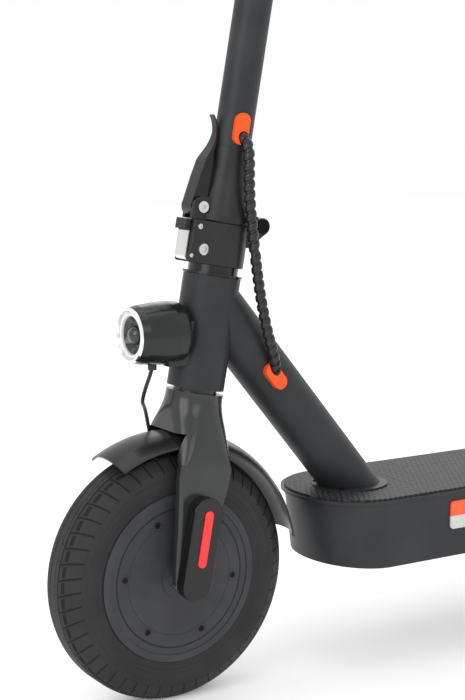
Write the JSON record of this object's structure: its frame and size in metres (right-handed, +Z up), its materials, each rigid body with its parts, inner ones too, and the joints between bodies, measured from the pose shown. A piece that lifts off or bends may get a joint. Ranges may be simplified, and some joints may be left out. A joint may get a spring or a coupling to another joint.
{
  "type": "electric kick scooter",
  "caption": "Folding electric kick scooter with air tyres, hub motor in the front wheel, flat deck, folding stem, headlamp, disc brake and kickstand.",
  "frame": {"origin": "on the ground, midway between the front and rear ends, on the centre plane", "axes": "+Z up; -X is forwards and -Y is the rider's left, where the kickstand is"},
  "size_m": [1.18, 0.44, 1.237],
  "materials": {
    "frame_paint": "satin charcoal black",
    "motor_paint": "matte dark grey",
    "black_plastic": "fine moulded texture",
    "gloss_black": "gloss black",
    "steel": "plain steel",
    "chrome": "polished",
    "clear_lens": "clear",
    "orange_rubber": "bright orange",
    "mat_rubber": "ribbed black",
    "tyre": "black rubber",
    "reflector_red": "prismatic red",
    "cable": "black jacket",
    "battery_wrap": "shrink wrap"
  },
  "bodies": {
    "frame": {"main_frame": "frame_paint", "headset_bearings": "steel", "headlamp_shell": "gloss_black", "headlamp_bezel": "chrome", "headlamp_lens": "clear_lens", "frame_grommet": "orange_rubber", "deck_nose": "frame_paint", "deck_body": "frame_paint", "deck_lid": "frame_paint", "deck_mat": "mat_rubber", "deck_electronics": "battery_wrap", "deck_screws": "steel", "charge_socket": "black_plastic", "frame_reflectors": "reflector_red", "rear_fork": "frame_paint", "rear_axle": "steel", "rear_axle_covers": "black_plastic", "rear_fender": "gloss_black", "tail_light": "reflector_red", "kickstand_bracket": "frame_paint", "brake_caliper": "black_plastic", "harness_lower": "cable"},
    "steering": {"fork": "frame_paint", "headset_collar": "frame_paint", "front_fender": "gloss_black", "front_axle_covers": "black_plastic", "front_reflectors": "reflector_red", "front_axle_stator": "steel", "hinge_base": "frame_paint", "hinge_fasteners": "steel", "motor_cable": "cable"},
    "front_wheel": {"motor_hub_shell": "motor_paint", "motor_covers": "motor_paint", "motor_cover_screws": "steel", "front_tyre": "tyre", "front_wheel_bearings": "steel"},
    "rear_wheel": {"rear_rim": "motor_paint", "rear_tyre": "tyre", "brake_disc": "steel", "rear_wheel_bearings": "steel"},
    "stem": {"stem_tube": "frame_paint", "hinge_head": "frame_paint", "lever_pin": "steel", "stem_grommet": "orange_rubber", "bar_clamp": "frame_paint", "handlebar": "frame_paint", "grips": "mat_rubber", "display_housing": "black_plastic", "display_lens": "clear_lens", "control_mounts": "black_plastic", "harness_upper": "cable"},
    "latch_lever": {"latch_lever": "gloss_black"},
    "latch_hook": {"latch_hook": "steel"},
    "brake_lever": {"brake_lever": "gloss_black"},
    "throttle_paddle": {"throttle_paddle": "black_plastic"},
    "power_button": {"power_button": "black_plastic"},
    "kickstand": {"kickstand": "frame_paint"},
    "charge_cap": {"charge_cap": "mat_rubber"},
    "moving_brake_pad": {"moving_brake_pad": "steel"},
    "caliper_arm": {"caliper_arm": "black_plastic"}
  },
  "joints": [
    {"name": "steering", "type": "hinge", "parent": "frame", "child": "steering", "pos_m": [-0.463, 0, 0.127], "axis": [0.1711, 0, 0.9853], "range_deg": [-55, 55], "deforming": ["motor_cable", "harness_lower"]},
    {"name": "front_wheel", "type": "hinge", "parent": "steering", "child": "front_wheel", "pos_m": [-0.463, 0, 0.127], "axis": [0, 1, 0], "continuous": true},
    {"name": "rear_wheel", "type": "hinge", "parent": "frame", "child": "rear_wheel", "pos_m": [0.437, 0, 0.127], "axis": [0, 1, 0], "continuous": true},
    {"name": "stem_fold", "type": "hinge", "parent": "steering", "child": "stem", "pos_m": [-0.36303, 0, 0.46894], "axis": [0, 1, 0], "range_deg": [0, 95], "deforming": ["harness_upper"]},
    {"name": "latch_lever", "type": "hinge", "parent": "stem", "child": "latch_lever", "pos_m": [-0.43136, 0, 0.49045], "axis": [0, -1, 0], "range_deg": [0, 100]},
    {"name": "latch_hook", "type": "hinge", "parent": "steering", "child": "latch_hook", "pos_m": [-0.4441, 0, 0.44394], "axis": [0, -1, 0], "range_deg": [0, 35]},
    {"name": "brake_lever", "type": "hinge", "parent": "stem", "child": "brake_lever", "pos_m": [-0.31089, -0.07, 1.20182], "axis": [0.1711, 0, 0.9853], "range_deg": [0, 13], "stiffness_Nm_per_rad": 1.5, "springref_deg": -11.46},
    {"name": "caliper_arm", "type": "hinge", "parent": "frame", "child": "caliper_arm", "pos_m": [0.395, -0.05, 0.158], "axis": [0, -1, 0], "range_deg": [0, 19.5]},
    {"name": "moving_brake_pad", "type": "slide", "parent": "frame", "child": "moving_brake_pad", "axis": [0, 1, 0], "range_m": [0, 0.0005]},
    {"name": "throttle_paddle", "type": "hinge", "parent": "stem", "child": "throttle_paddle", "pos_m": [-0.27739, 0, 1.19601], "axis": [0, 1, 0], "range_deg": [0, 35], "stiffness_Nm_per_rad": 0.4, "springref_deg": -17.19},
    {"name": "power_button", "type": "slide", "parent": "stem", "child": "power_button", "axis": [-0.4977, 0, -0.8673], "range_m": [0, 0.001], "stiffness_N_per_m": 400, "springref_m": -0.001},
    {"name": "kickstand", "type": "hinge", "parent": "frame", "child": "kickstand", "pos_m": [0.04, -0.06, 0.105], "axis": [0, -0.866, 0.5], "range_deg": [0, 88]},
    {"name": "charge_cap", "type": "hinge", "parent": "frame", "child": "charge_cap", "pos_m": [-0.06, 0.08, 0.1365], "axis": [-1, 0, 0], "range_deg": [0, 110]}
  ],
  "couplings": [
    {"joint": "caliper_arm", "follows": "brake_lever", "ratio": 1.5},
    {"joint": "moving_brake_pad", "follows": "brake_lever", "m_per_rad": 0.0022015}
  ]
}
